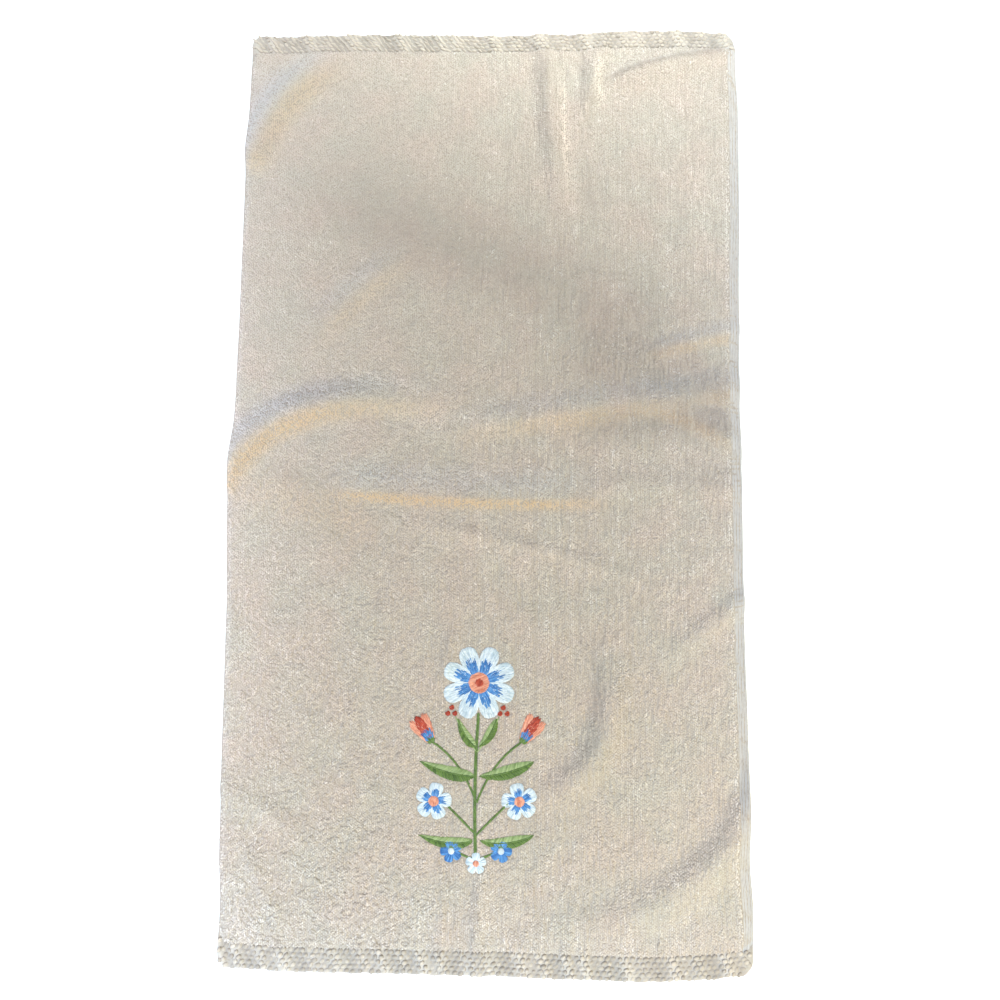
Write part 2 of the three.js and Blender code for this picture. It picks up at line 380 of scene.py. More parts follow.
def layers(fromLeft, fromNear):
    # plan, and the heights of the cloth's underside and of its ground, where pile and threads are rooted
    x, y = laidOut(fromLeft, fromNear)
    x, y = x + shiftX, y + shiftY
    thicker = (cloth["hemThickness"] - cloth["selvedgeThickness"]) * hemShare(fromNear)
    flatWoven = cloth["selvedgeThickness"] + thicker
    share = pileShare(fromLeft, fromNear)
    thickness = flatWoven + (cloth["groundThickness"] - flatWoven) * share
    fromFar = cloth["length"] - fromNear
    (nearHigh, nearWide), (farHigh, farWide), (deep, wide) = (pucker[k] for k in ("near", "far", "groove"))
    nearPull = nearHigh * bell(fromNear - cloth["nearHem"] / 2, nearWide)
    farPull = farHigh * bell(fromFar - cloth["farHem"] / 2, farWide)
    groove = deep * (bell(fromNear - cloth["nearHem"], wide) + bell(fromFar - cloth["farHem"], wide))
    settle = ease(fromEdges(fromLeft, fromNear), 0, pucker["rimRun"])
    fine = readMap(fineLift, x, y) * (pucker["rim"] + (1 - pucker["rim"]) * settle) * fineShare
    under = readMap(lowLift, x, y) + fine
    ground = under + thickness + puckerAt(fromLeft, fromNear) * (nearPull + farPull) - groove
    return x, y, under, ground


groundCloth = {
    # lines of its grid, close together at the rim, and on both sides of a hem's or selvedge's border
    "rimLines": [0, 0.5, 1.3],
    "borderLines": [-1, 0, 1, 3],
    "firstLine": 3.4,
    "lastLine": 1.6,
    "lineGap": 2.4,
    "leftLine": 1.2,  # how far inside the left selvedge its border's lines are
    "roll": 1.3,  # the rim is a turned edge, so it is round
    "rolled": 0.3,
    "middleTone": 0.5,
    # the woven ground is painted lighter on the puckers and darker between them, painted light and shade
    "puckerShade": 0.4,
}


def gridLines(length, startBorder, endBorder, cell):
    def edgeLines(border):
        inner = np.arange(groundCloth["firstLine"], border - groundCloth["lastLine"], groundCloth["lineGap"])
        return groundCloth["rimLines"] + list(inner) + [border + line for line in groundCloth["borderLines"]]
    start = edgeLines(startBorder)
    end = [length - line for line in reversed(edgeLines(endBorder))]
    count = round((end[0] - start[-1]) / cell)
    return np.array(start + list(np.linspace(start[-1], end[0], count + 1))[1:-1] + end)


def addLook(mesh, look, values):
    # a number for each point, which a material reads
    mesh.attributes.new(look, "FLOAT", "POINT").data.foreach_set("value", values.astype(np.float32))


def addPlanMap(mesh, flat):
    # the piece's plan, as the UV map that the export bakes on
    span = (flat - flat.min(0)) / np.ptp(flat, axis=0)
    mesh.uv_layers.new(name="OFBake").uv.foreach_set("vector", span.astype(np.float32).ravel())


def newObject(name, mesh, material):
    piece = bpy.data.objects.new(name, mesh)
    bpy.context.scene.collection.objects.link(piece)
    mesh.materials.append(material)
    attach(piece, "root")
    return piece


def makeCloth(material):
    leftBorder = cloth["leftSelvedge"] + groundCloth["leftLine"]
    columns = gridLines(cloth["width"], leftBorder, cloth["rightSelvedge"], cloth["cellAcross"])
    rows = gridLines(cloth["length"], cloth["nearHem"], cloth["farHem"], cloth["cellAlong"])
    bm = bmesh.new()
    bmesh.ops.create_grid(bm, x_segments=len(columns) - 1, y_segments=len(rows) - 1, size=1)
    bmesh.ops.solidify(bm, geom=bm.faces[:], thickness=1)
    flat = np.array([v.co for v in bm.verts])
    fromLeft = columns[np.round((flat[:, 0] + 1) / 2 * (len(columns) - 1)).astype(int)]
    fromNear = rows[np.round((flat[:, 1] + 1) / 2 * (len(rows) - 1)).astype(int)]
    x, y, low, high = layers(fromLeft, fromNear)
    inRoll = 1 - ease(fromEdges(fromLeft, fromNear), 0, groundCloth["roll"])
    rolled = groundCloth["rolled"] * (high - low) * inRoll
    z = np.where(flat[:, 2] > -0.5, high - rolled, low + rolled)
    for vert, place in zip(bm.verts, np.stack([x, y, z], 1) * mm):
        vert.co = place
    bmesh.ops.recalc_face_normals(bm, faces=bm.faces[:])
    for face in bm.faces:
        face.smooth = True
    mesh = bpy.data.meshes.new("towel_cloth")
    bm.to_mesh(mesh)
    bm.free()
    addLook(mesh, "hem", hemShare(fromNear))
    # painted lighter on the puckers and darker between them, painted light and shade
    puckered = groundCloth["puckerShade"] * puckerAt(fromLeft, fromNear)
    addLook(mesh, "tone", groundCloth["middleTone"] + puckered)
    return newObject("towel_cloth", mesh, material)


# Many copies of one small shape, joined

def meshData(bm):
    bm.verts.index_update()
    verts = np.array([v.co for v in bm.verts])
    faces = [[v.index for v in f.verts] for f in bm.faces]
    bm.free()
    return verts, faces


def joinCopies(name, template, places, turns, sizes, looks, material, slot):
    verts, faces = template
    count, each = len(places), len(verts)
    local = verts[None] * sizes[:, None, :]
    world = np.einsum("nij,nkj->nki", turns, local) + places[:, None, :]
    corners = np.concatenate([np.array(f) for f in faces])
    lengths = np.array([len(f) for f in faces])
    loops = (corners[None] + each * np.arange(count)[:, None]).ravel()
    starts = np.concatenate([[0], np.cumsum(np.tile(lengths, count))[:-1]])
    mesh = bpy.data.meshes.new(name)
    mesh.vertices.add(count * each)
    mesh.loops.add(len(loops))
    mesh.polygons.add(len(starts))
    mesh.vertices.foreach_set("co", (world * mm).astype(np.float32).ravel())
    mesh.loops.foreach_set("vertex_index", loops.astype(np.int32))
    mesh.polygons.foreach_set("loop_start", starts.astype(np.int32))
    mesh.polygons.foreach_set("use_smooth", np.ones(len(starts), bool))
    mesh.update(calc_edges=True)
    tip = (verts[:, 2] - verts[:, 2].min()) / np.ptp(verts[:, 2])
    for look, values in looks.items():
        addLook(mesh, look, np.repeat(values, each))
    addLook(mesh, "tip", np.tile(tip, count))
    addPlanMap(mesh, world.reshape(-1, 3)[loops][:, :2])
    return newObject(name, mesh, material)


def standing(spin, leanX, leanY):
    # rotation matrices: spin about Z, then lean along the surface's slopes
    cs, ss, zero, one = np.cos(spin), np.sin(spin), np.zeros(len(spin)), np.ones(len(spin))
    about = np.stack([cs, -ss, zero, ss, cs, zero, zero, zero, one], 1).reshape(-1, 3, 3)
    up = np.stack([-leanX, -leanY, one], 1)
    up /= np.linalg.norm(up, axis=1)[:, None]
    right = np.cross(np.tile([0, 1.0, 0], (len(spin), 1)), up)
    right /= np.linalg.norm(right, axis=1)[:, None]
    ahead = np.cross(up, right)
    return np.stack([right, ahead, up], 2) @ about


# Embroidery: every stitch is one thread with its ends in the cloth

sprig = {
    "centre": (-6, -219),
    "thread": 0.8,
    "pitch": 0.66,
    "puff": 0.6,  # how far a stitch stands over its ends
    "shortPuff": 0.4,  # the share of it that the shortest stitch has
    "fullPuffRun": 7,
    "run": 4.4,  # a longer stitch dips into the cloth on its way
    "shortest": 0.7,
    "dipStray": 0.35,
    "satinStray": 0.05,
    "satinOff": (0.4, 0.3),  # how far the first and the last stitch keep off a shape's ends
    "discOff": (0.3, 0.2),
    "petalStray": 0.03,
    "stemStitch": 3.6,
    "stemPitch": 1.7,
    "stemShift": 0.9,  # how much later each second strand starts
    "stemEnd": 3,
    "stemGap": 0.72,
    "stemLean": 0.25,
    "stemPuff": 0.3,
    "bedded": 0.2,  # how far a thread's ends lie over the ground
    "levelStray": 0.1,
    "toneStray": 0.3,
}
stitches = {"blue": [], "pale": [], "coral": [], "red": [], "leaf": [], "sprout": []}


def sew(colour, start, end, level=0.0, puff=None):
    start, end = np.array(start, float), np.array(end, float)
    length = np.linalg.norm(end - start)
    if length < sprig["shortest"]:
        return
    runs = max(1, round(length / sprig["run"]))
    stray = sprig["dipStray"]
    cuts = [0, *((i + rng.uniform(-stray, stray)) / runs for i in range(1, runs)), 1]
    for first, last in zip(cuts[:-1], cuts[1:]):
        t = np.linspace(0, 1, 5)[:, None]
        share = first + (last - first) * t
        flat = start * (1 - share) + end * share
        fullness = min(1, sprig["shortPuff"] + length * (last - first) / sprig["fullPuffRun"])
        rise = (sprig["puff"] if puff is None else puff) * fullness
        z = level + rise * (1 - (2 * t - 1) ** 2)
        stitches[colour].append(np.hstack([flat, z]))


def followed(crest, count):
    # a curve's points, its length and its heading at each point
    line = bendThrough(crest, count)
    heading = np.gradient(line, axis=0)
    heading /= np.linalg.norm(heading, axis=1)[:, None]
    return line, np.linalg.norm(np.diff(line, axis=0), axis=1).sum(), heading


def satin(colour, crest, width, side=(-1, 1), slant=0.5, level=0.0, blunt=0.8, fullest=0.45):
    # close stitches across a curved shape that is widest at a share of its length
    line, length, heading = followed(crest, 160)
    last, stray = len(line) - 1, sprig["satinStray"]
    offStart, offEnd = sprig["satinOff"]
    for place in np.arange(offStart, length - offEnd, sprig["pitch"]):
        t = place / length
        warped = t ** (math.log(0.5) / math.log(fullest))
        half = width / 2 * math.sin(math.pi * warped) ** blunt
        i = min(int(t * last), last - 1)
        ahead, left = heading[i], np.array([-heading[i][1], heading[i][0]])
        ragged = 1 + rng.uniform(-stray, stray)
        ends = [line[i] + (left * s + ahead * abs(s) * slant) * half * ragged for s in side]
        sew(colour, ends[0], ends[1], level)


def facing(angle):
    # unit steps ahead and to the left
    ahead = np.array([math.cos(math.radians(angle)), math.sin(math.radians(angle))])
    return ahead, np.array([-ahead[1], ahead[0]])


def petal(colour, centre, angle, inner, length, width, level=0.0, ragged=0.0, foot=0.4, bluntness=2.6):
    # long stitches that fan out from a flower's heart
    ahead, left = facing(angle)
    count = max(3, round(width / sprig["pitch"]))
    for i in range(count):
        s = (i + 0.5) / count * 2 - 1
        reach = length * (1 - abs(s) ** bluntness) ** 0.5
        reach *= 1 - ragged * rng.uniform(0, 1) - sprig["petalStray"] * rng.uniform(0, 1)
        start = np.array(centre) + ahead * inner + left * s * width / 2 * foot
        fan = foot + (1 - foot) * reach / length
        end = np.array(centre) + ahead * (inner + reach) + left * s * width / 2 * fan
        sew(colour, start, end, level)


def disc(colour, centre, radius, angle=20, level=0.0):
    ahead, left = facing(angle)
    offStart, offEnd = sprig["discOff"]
    for place in np.arange(-radius + offStart, radius - offEnd, sprig["pitch"]):
        half = math.sqrt(radius ** 2 - place ** 2)
        middle = np.array(centre) + left * place
        sew(colour, middle - ahead * half, middle + ahead * half, level)


def stem(colour, crest, strands=2, level=0.0):
    # stem stitch: short slanted stitches, each starting beside the middle of the last
    line, length, heading = followed(crest, 200)
    last, lean = len(line) - 1, sprig["stemLean"]
    for strand in range(strands):
        offset = (strand - (strands - 1) / 2) * sprig["stemGap"]
        start = sprig["stemShift"] * (strand % 2)
        for place in np.arange(start, length - sprig["stemEnd"], sprig["stemPitch"]):
            i = int(place / length * last)
            j = min(int((place + sprig["stemStitch"]) / length * last), last)
            left = np.array([-heading[i][1], heading[i][0]])
            ends = line[i] + left * (offset - lean), line[j] + left * (offset + lean)
            sew(colour, *ends, level, sprig["stemPuff"])


def leaf(crest, width):
    satin("leaf", crest, width, side=(-1, 0), slant=0.7)
    satin("sprout", crest, width, side=(0, 1), slant=0.7)
    stem("leaf", crest, 1, level=0.45)


# an open flower
flower = {
    "core": 0.26,  # where its petals start, as a share of its radius
    "overlap": 1.02,
    "innerLong": 0.66,  # as a share of an outer petal's length
    "innerWide": 0.62,
    "innerRagged": 0.45,
    "innerLevel": 0.35,
    "heart": 1.08,  # as a share of the core, which it covers
    "heartLevel": 0.5,
}


def blossom(centre, radius, petals, turn, outer, inner, heart, level=0.0):
    # long petals, a second colour that feathers into them, and a round heart
    step = 360 / petals
    core = radius * flower["core"]
    width = 2 * radius * math.sin(math.radians(step / 2)) * flower["overlap"]
    long, wide = (radius - core) * flower["innerLong"], width * flower["innerWide"]
    for i in range(petals):
        petal(outer, centre, turn + step * i, core, radius - core, width, level)
        if inner:
            over = level + flower["innerLevel"]
            petal(inner, centre, turn + step * i, core, long, wide, over, flower["innerRagged"])
    disc(heart, centre, core * flower["heart"], turn, level + flower["heartLevel"])


# A closed bud's petals, and last the green cup that holds them. A row has turn, colour, where it starts,
# length and width as shares of the bud's, level, raggedness and how wide its foot is.
budPetals = [
    (16, "coral", 1.5, 1, 0.62, 0, 0.08, 0.55),
    (-16, "coral", 1.5, 1, 0.62, 0, 0.08, 0.55),
    (0, "red", 1.5, 1, 0.62, 0.3, 0.08, 0.55),
    (0, "blue", 0.5, 0.5, 0.9, 0.55, 0.5, 0.3),
    (0, "leaf", -0.8, 0.24, 0.6, 0.8, 0.2, 0.4),
]


def bud(base, angle, length, width, level=0.0):
    for turn, colour, inner, long, wide, over, ragged, foot in budPetals:
        petal(colour, base, angle + turn, inner, length * long, width * wide, level + over, ragged, foot)


def sewSprig():
    stem("leaf", (0, -84, -3, -20, 1, 34), 3)
    for s in (-1, 1):
        stem("leaf", (0, -34, s * 12, -2, s * 35, 12), 2)
        stem("leaf", (0, -58, s * 14, -44, s * 27, -32), 2)
        stem("leaf", (0, -76, s * 10, -74, s * 17, -69), 2)
        stem("sprout", (0, 4, s * 10, 16, s * 17, 31), 1)
        leaf((s * 2, -14, s * 22, -14, s * 44, -3), s * 10.5)
        leaf((s * 1, 8, s * 10, 14, s * 15, 30), s * 7.5)
        leaf((s * 3, -62, s * 20, -68, s * 44, -58), s * 9)
        bud((s * 35, 12), 90 - s * 34, 22, 17)
        blossom((s * 33, -33), 14, 5, 90 + s * 12, "pale", "blue", "coral")
        blossom((s * 19, -70), 8.5, 5, 90 - s * 18, "blue", None, "pale")
        for place in ((20, 38), (23, 33.5), (17.5, 33.5)):
            disc("red", (s * place[0], place[1]), 1.9, 30, 0.1)
    blossom((1, 57), 29, 8, 22.5, "pale", "blue", "coral", 0.1)
    disc("red", (1, 57), 3.2, 70, 0.95)
    blossom((0, -79), 8, 5, 90, "pale", None, "coral", 0.3)


def stitchedGround(step=0.5, reach=110, every=0.4):
    # True where stitches cover the ground, on a fine map round the sprig
    size = int(2 * reach / step)
    covered = np.zeros((size, size), bool)
    for colour in stitches.values():
        for line in colour:
            count = max(3, int(np.linalg.norm(line[-1, :2] - line[0, :2]) / every))
            t = np.linspace(0, 1, count)[:, None]
            spots = line[0, :2] * (1 - t) + line[-1, :2] * t
            cells = ((spots + reach) / step).astype(int)
            for dx in (-1, 0, 1):
                for dy in (-1, 0, 1):
                    covered[cells[:, 1] + dy, cells[:, 0] + dx] = True

    def under(x, y):
        column = ((x - sprig["centre"][0] + reach) / step).astype(int)
        row = ((y - sprig["centre"][1] + reach) / step).astype(int)
        inside = (column >= 0) & (column < size) & (row >= 0) & (row < size)
        return inside & covered[np.clip(row, 0, size - 1), np.clip(column, 0, size - 1)]
    return under


def threadMesh(name, lines, radius, smooth):
    # round threads along lines of x, y and z in millimetres, as one mesh
    curve = bpy.data.curves.new(name, "CURVE")
    curve.dimensions = "3D"
    curve.bevel_depth = radius * mm
    curve.bevel_resolution = smooth
    curve.use_fill_caps = True
    for x, y, z in lines:
        spline = curve.splines.new("POLY")
        spline.points.add(len(x) - 1)
        points = np.stack([x, y, z, np.full(len(x), 1 / mm)], 1) * mm
        spline.points.foreach_set("co", points.ravel())
        spline.use_smooth = True
    holder = bpy.data.objects.new(name, curve)
    bpy.context.scene.collection.objects.link(holder)
    mesh = bpy.data.meshes.new_from_object(holder)
    bpy.data.objects.remove(holder)
    mesh.name = name
    mesh.materials.clear()
    return mesh


def makeThreads(colour, material):
    name, lines = "stitches_" + colour, np.array(stitches[colour])
    x, y = lines[:, :, 0] + sprig["centre"][0], lines[:, :, 1] + sprig["centre"][1]
    height = readMap(lowLift + fineLift * fineShare, x, y) + cloth["groundThickness"]
    z = lines[:, :, 2] + height + sprig["bedded"] + rng.normal(0, sprig["levelStray"], (len(lines), 1))
    mesh = threadMesh(name, zip(x, y, z), sprig["thread"] / 2, 0)
    places = np.empty(len(mesh.vertices) * 3)
    mesh.vertices.foreach_get("co", places)
    loops = np.empty(len(mesh.loops), np.int32)
    mesh.loops.foreach_get("vertex_index", loops)
    while mesh.uv_layers:
        mesh.uv_layers.remove(mesh.uv_layers[0])
    addPlanMap(mesh, places.reshape(-1, 3)[loops][:, :2])
    tones = np.clip(rng.normal(0.5, sprig["toneStray"], len(lines)), 0, 1)
    addLook(mesh, "tone", np.repeat(tones, len(mesh.vertices) // len(lines)))
    return newObject(name, mesh, material)


# Pile

pile = {
    "pitchAcross": 1.5,
    "pitchAlong": 2.05,
    "strayAcross": 0.16,
    "strayAlong": 0.3,
    "endStray": 2,  # the first and the last column stray this much more
    "overLeft": 1.4,  # how far the tufts go past the left and the right border
    "overRight": 0.6,
    "offNear": 0.7,  # how far they keep off the hems
    "offFar": 0.5,
    "long": 2.25,
    "longStray": (0.7, 1.3),
    "wide": 1.5,
    "wideStray": (0.8, 1.2),
    "high": 1.25,
    "highStray": 0.12,
    "sunk": 0.42,
    "bands": 4,
    "straight": (60, 260),  # from the left: the nap is curly up to the first, and straight past the second
    "turn": 0.7,  # how far a tuft turns with the ridge of nap that it is in
    "turnStray": 0.4,
    "flat": 0.05,  # on a slope of the nap below this a tuft hardly turns
    "leanStray": 0.1,
    "rim": (2, 7),  # from the left: tufts up to the first lean in over the edge, past the second not
    "rimLean": 0.7,
    "rimStray": (0.3, 1.3),
    "cordStray": 0.1,
    "thirdCord": 0.16,  # each third cord of the nap is lower
    "cordInCurl": 0.3,  # how much of the cords' unlike heights shows where the nap is curly
    "snag": 0.7,
}
snags = [((190, -339), (196, -337)), ((186, -352), (192, -350)), ((188, -379), (194, -379))]

# the sheared pile lies in small curly clumps, and in upright cords where it was brushed
napShape = {
    "clump": (3.9, 3.9, 2.5),  # size across, size along and seed
    "cord": (2.9, 14, 7.5),
    "patch": (8, 11, 4.5),
    "sharp": 3,
    "curlLost": 0.65,
    "corded": 0.95,
    "patched": 0.4,
    "lowest": -0.5,
    "high": 0.38,
    "growth": 0.7,  # how its height grows with its liveliness
    "step": 0.5,
}

# how light a tuft is, from 0 to 1
tuftTone = {
    "middle": 0.44,
    "stray": 0.07,
    # tufts high on the nap are painted lighter by this, a painted highlight
    "nap": 0.15,
    "cordStray": 0.13,
    "cord": 0.5,
    "cordInCurl": 0.2,
    "spot": (6, 8, 9.5),
    "spotted": 0.26,
    "glint": 0.5,
    "glintShare": 0.006,
    "rim": 0.3,
    "rimRun": (0.6, 2.4),
}


def noiseAt(x, y, kind):
    across, along, seed = kind
    return noise.noise((x / across, y / along, seed))


def napAt(x, y, straight):
    high = np.empty(len(x))
    for i, (px, py, s) in enumerate(zip(x, y, straight)):
        curly = 1 - napShape["sharp"] * abs(noiseAt(px, py, napShape["clump"]))
        corded = 1 - napShape["sharp"] * abs(noiseAt(px, py, napShape["cord"]))
        patch = napShape["patched"] * noiseAt(px, py, napShape["patch"])
        blend = curly * (1 - napShape["curlLost"] * s) + corded * napShape["corded"] * s
        high[i] = max(napShape["lowest"], blend + patch)
    return high


def tuftShape(ridge=0.26):
    # a short ridge of pile, as wide at its root as one loop
    bm = bmesh.new()
    bmesh.ops.create_cube(bm, size=1)
    bmesh.ops.delete(bm, geom=[f for f in bm.faces if f.normal.z < -0.5], context="FACES_ONLY")
    for end in (-1, 1):
        pair = [v for v in bm.verts if v.co.z > 0 and v.co.y * end > 0.3]
        bmesh.ops.pointmerge(bm, verts=pair, merge_co=(0, end * ridge, 0.5))
    return meshData(bm)


def rootTufts(under):
    # even rows, each second column half a step on, but none under a stitch or on a snag
    left = cloth["leftSelvedge"] - pile["overLeft"]
    right = cloth["width"] - cloth["rightSelvedge"] + pile["overRight"]
    near = cloth["nearHem"] + pile["offNear"]
    far = cloth["length"] - cloth["farHem"] - pile["offFar"]
    across = np.arange(left, right, pile["pitchAcross"])
    along = np.arange(near, far, pile["pitchAlong"])
    fromLeft, fromNear = (a.ravel() for a in np.meshgrid(across, along))
    column = np.tile(np.arange(len(across)), len(along))
    fromNear = fromNear + (column % 2) * pile["pitchAlong"] / 2
    ends = (column == 0) | (column == len(across) - 1)
    fromLeft = fromLeft + rng.normal(0, pile["strayAcross"], len(column)) * (1 + pile["endStray"] * ends)
    fromNear = fromNear + rng.normal(0, pile["strayAlong"], len(column))
    x, y, _, ground = layers(fromLeft, fromNear)
    keep = ~under(x, y)
    for start, end in snags:
        t = np.clip((x - start[0]) / (end[0] - start[0]), 0, 1)
        aside = np.hypot(x - start[0] - t * (end[0] - start[0]), y - start[1] - t * (end[1] - start[1]))
        keep &= aside > pile["snag"]
    return across, [a[keep] for a in (fromLeft, fromNear, column, x, y, ground)]


def makePile(material, under):
    across, (fromLeft, fromNear, column, x, y, ground) = rootTufts(under)
    count = len(x)
    # the nap lies straighter in the right half, and curlier to the left
    straight = ease(fromLeft, *pile["straight"])
    nap = napAt(x, y, straight)
    gain = livelyAt(x, y)
    napHigh = napShape["high"] * gain ** napShape["growth"]
    step = napShape["step"]
    napX = (napAt(x + step, y, straight) - nap) / step * napHigh
    napY = (napAt(x, y + step, straight) - nap) / step * napHigh
    # each tuft lies along its ridge, but not far from the cloth's length
    ridge = np.arctan(napY / (np.abs(napX) + pile["flat"])) * np.sign(napX)
    spin = pile["turn"] * ridge + rng.normal(0, pile["turnStray"], count)
    leanX = readMap(slopeX, x, y) + napX + rng.normal(0, pile["leanStray"], count) * gain
    leanY = readMap(slopeY, x, y) + napY + rng.normal(0, pile["leanStray"], count) * gain
    leftRim = 1 - ease(fromLeft, *pile["rim"])
    leanX = leanX + leftRim * pile["rimLean"] * rng.uniform(*pile["rimStray"], count)
    thirdCord = pile["thirdCord"] * (np.arange(len(across)) % 3 == 0)
    cordHeight = rng.normal(0, pile["cordStray"], len(across)) - thirdCord
    cordTone = rng.normal(0, tuftTone["cordStray"], len(across))
    taller = cordHeight[column] * (pile["cordInCurl"] + (1 - pile["cordInCurl"]) * straight)
    sizes = np.stack([
        pile["wide"] * rng.uniform(*pile["wideStray"], count),
        pile["long"] * rng.uniform(*pile["longStray"], count),
        pile["high"] * (1 + taller + rng.normal(0, pile["highStray"], count)),
    ], 1)
    places = np.stack([x, y, ground - pile["sunk"] + sizes[:, 2] / 2 + nap * napHigh], 1)
    inCurl = tuftTone["cordInCurl"]
    lighter = tuftTone["cord"] * cordTone[column] * (inCurl + (1 - inCurl) * straight)
    # tufts high on the nap are painted lighter, a painted highlight
    lift = rng.normal(0, tuftTone["stray"], count) + tuftTone["nap"] * nap + lighter
    rim = 1 - ease(np.minimum(fromLeft - across[0], across[-1] - fromLeft), *tuftTone["rimRun"])
    spots = np.array([noiseAt(px, py, tuftTone["spot"]) for px, py in zip(x, y)])
    glints = tuftTone["glint"] * (rng.uniform(0, 1, count) > 1 - tuftTone["glintShare"])
    tones = tuftTone["middle"] + lift * gain + tuftTone["spotted"] * spots + glints + tuftTone["rim"] * rim
    looks = {"tone": np.clip(tones, 0, 1), "cast": readMap(cast, x, y), "shade": readMap(shade, x, y)}
    template, turns = tuftShape(), standing(spin, leanX, leanY)
    pieces = []
    for band in range(pile["bands"]):
        share = np.floor(fromNear / cloth["length"] * pile["bands"]).astype(int) == band
        bandLooks = {look: values[share] for look, values in looks.items()}
        shapes = (template, places[share], turns[share], sizes[share])
        pieces.append(joinCopies(f"pile_{band + 1}", *shapes, bandLooks, material, "terry"))
    print("pile tufts", count)
    return pieces


# Hems

hem = {
    "near": {"pitchAcross": 4.8, "pitchAlong": 3.6, "rows": 5, "tone": 0.38},
    "far": {"pitchAcross": 4.4, "pitchAlong": 3.0, "rows": 5, "tone": 0.5},
    "border": 2.2,  # how far the rows of floats keep off the hem's ends
    "firstRow": 1.7,
    "cornerRun": 5,  # near its outer edge the right end of a hem is bare for a few millimetres more
    "cornerBare": 4,
    "cornerOff": 2.4,
    "strayAcross": 0.3,
    "strayAlong": 0.2,
    "pipLong": 1.02,  # as a share of the pitch
    "pipWide": 1.02,
    "pipStray": (0.8, 1.15),
    "pipHigh": 2.5,
    "highStray": (0.6, 1.3),
    "sunk": 0.2,
    "slant": 0.55,
    "slantStray": 0.2,
    "pulled": (150, 260),  # the far hem's left part is pulled on the slant, and fades out between these
    "pulledLong": 0.35,
    "pulledWide": -0.25,
    "pulledTone": 0.22,
    "outerLow": 0.45,  # how much lower the outermost row is
    "outerRun": 3,
    "toneStray": 0.2,
    "puckerShade": 0.3,
    "leanShade": -0.25,
    "puckerLean": 1.3,
}


def pipShape(sunk=-0.12):
    # a raised float of the hem's weave, cut off a little under its middle
    bm = bmesh.new()
    bmesh.ops.create_uvsphere(bm, u_segments=8, v_segments=4, radius=0.5)
    every = bm.verts[:] + bm.edges[:] + bm.faces[:]
    bmesh.ops.bisect_plane(bm, geom=every, plane_co=(0, 0, sunk), plane_no=(0, 0, 1), clear_inner=True)
    return meshData(bm)


def makePips(material):
    template = pipShape()
    pieces = []
    for end in ("near", "far"):
        pitchAcross, pitchAlong, rows = (hem[end][k] for k in ("pitchAcross", "pitchAlong", "rows"))
        across = np.arange(hem["border"], cloth["width"] - hem["border"], pitchAcross)
        along = hem["firstRow"] + pitchAlong * np.arange(rows)
        fromLeft, rowPlace = (a.ravel() for a in np.meshgrid(across, along))
        row = np.repeat(np.arange(rows), len(across))
        fromLeft = fromLeft + (row % 2) * pitchAcross / 2 + rng.normal(0, hem["strayAcross"], len(row))
        rowPlace = rowPlace + rng.normal(0, hem["strayAlong"], len(row))
        bare = hem["cornerBare"] * (1 - ease(rowPlace, 0, hem["cornerRun"]))
        keep = fromLeft < cloth["width"] - hem["cornerOff"] - bare
        fromLeft, rowPlace = fromLeft[keep], rowPlace[keep]
        count = len(fromLeft)
        fromNear = rowPlace if end == "near" else cloth["length"] - rowPlace
        x, y, _, ground = layers(fromLeft, fromNear)
        pulled = (1 - ease(fromLeft, *hem["pulled"])) * (end == "far")
        slant = hem["slant"] * ((end == "near") - pulled)
        spin = rng.normal(0, hem["slantStray"], count) + slant
        outer = 1 - hem["outerLow"] * (1 - ease(rowPlace, 0, hem["outerRun"]))
        long, wide = pitchAcross * hem["pipLong"], pitchAlong * hem["pipWide"]
        sizes = np.stack([
            long * rng.uniform(*hem["pipStray"], count) * (1 + hem["pulledLong"] * pulled),
            wide * rng.uniform(*hem["pipStray"], count) * (1 + hem["pulledWide"] * pulled),
            hem["pipHigh"] * rng.uniform(*hem["highStray"], count) * outer,
        ], 1)
        places = np.stack([x, y, ground - hem["sunk"]], 1)
        slope = puckerAt(fromLeft, fromNear, 0.5) - puckerAt(fromLeft, fromNear, -0.5)
        lean = hem["puckerLean"] * slope
        turns = standing(spin, readMap(slopeX, x, y) + lean, readMap(slopeY, x, y))
        tones = hem[end]["tone"] + hem["pulledTone"] * pulled + rng.normal(0, hem["toneStray"], count)
        # painted lighter on the puckers, darker between them and on the puckers' one side: painted light and
        # shade
        tones = tones + hem["puckerShade"] * puckerAt(fromLeft, fromNear) + hem["leanShade"] * lean
        shapes, looks = (template, places, turns, sizes), {"tone": np.clip(tones, 0, 1)}
        pieces.append(joinCopies("hem_pips_" + end, *shapes, looks, material, "terry"))
        print(end, "hem floats", count)
    return pieces


# warp cords of the flat right selvedge
cords = {
    "radius": 0.62,
    "pitch": 1.15,
    "first": 1.0,
    "last": 0.4,
    "overHems": 1,
    "points": 190,
    "sunk": 0.5,
    "wander": 0.18,
    "wanderPace": 13,
    "wanderStart": 3,  # how much later it starts for each millimetre that a cord is further in
    "wave": 0.04,
    "wavePace": 3,
    "waveStart": 5,
}


def makeCords(material):
    near = cloth["nearHem"] - cords["overHems"]
    far = cloth["length"] - cloth["farHem"] + cords["overHems"]
    fromNear = np.linspace(near, far, cords["points"])
    lines = []
    for place in np.arange(cords["first"], cloth["rightSelvedge"] - cords["last"], cords["pitch"]):
        wander = cords["wander"] * np.sin(fromNear / cords["wanderPace"] + place * cords["wanderStart"])
        x, y, _, ground = layers(cloth["width"] - place + wander, fromNear)
        wave = cords["wave"] * np.sin(fromNear / cords["wavePace"] + place * cords["waveStart"])
        lines.append((x, y, ground - cords["sunk"] + wave))
    print("selvedge cords", len(lines))
    mesh = threadMesh("selvedge_cords", lines, cords["radius"], 1)
    return newObject("selvedge_cords", mesh, material)


# Materials

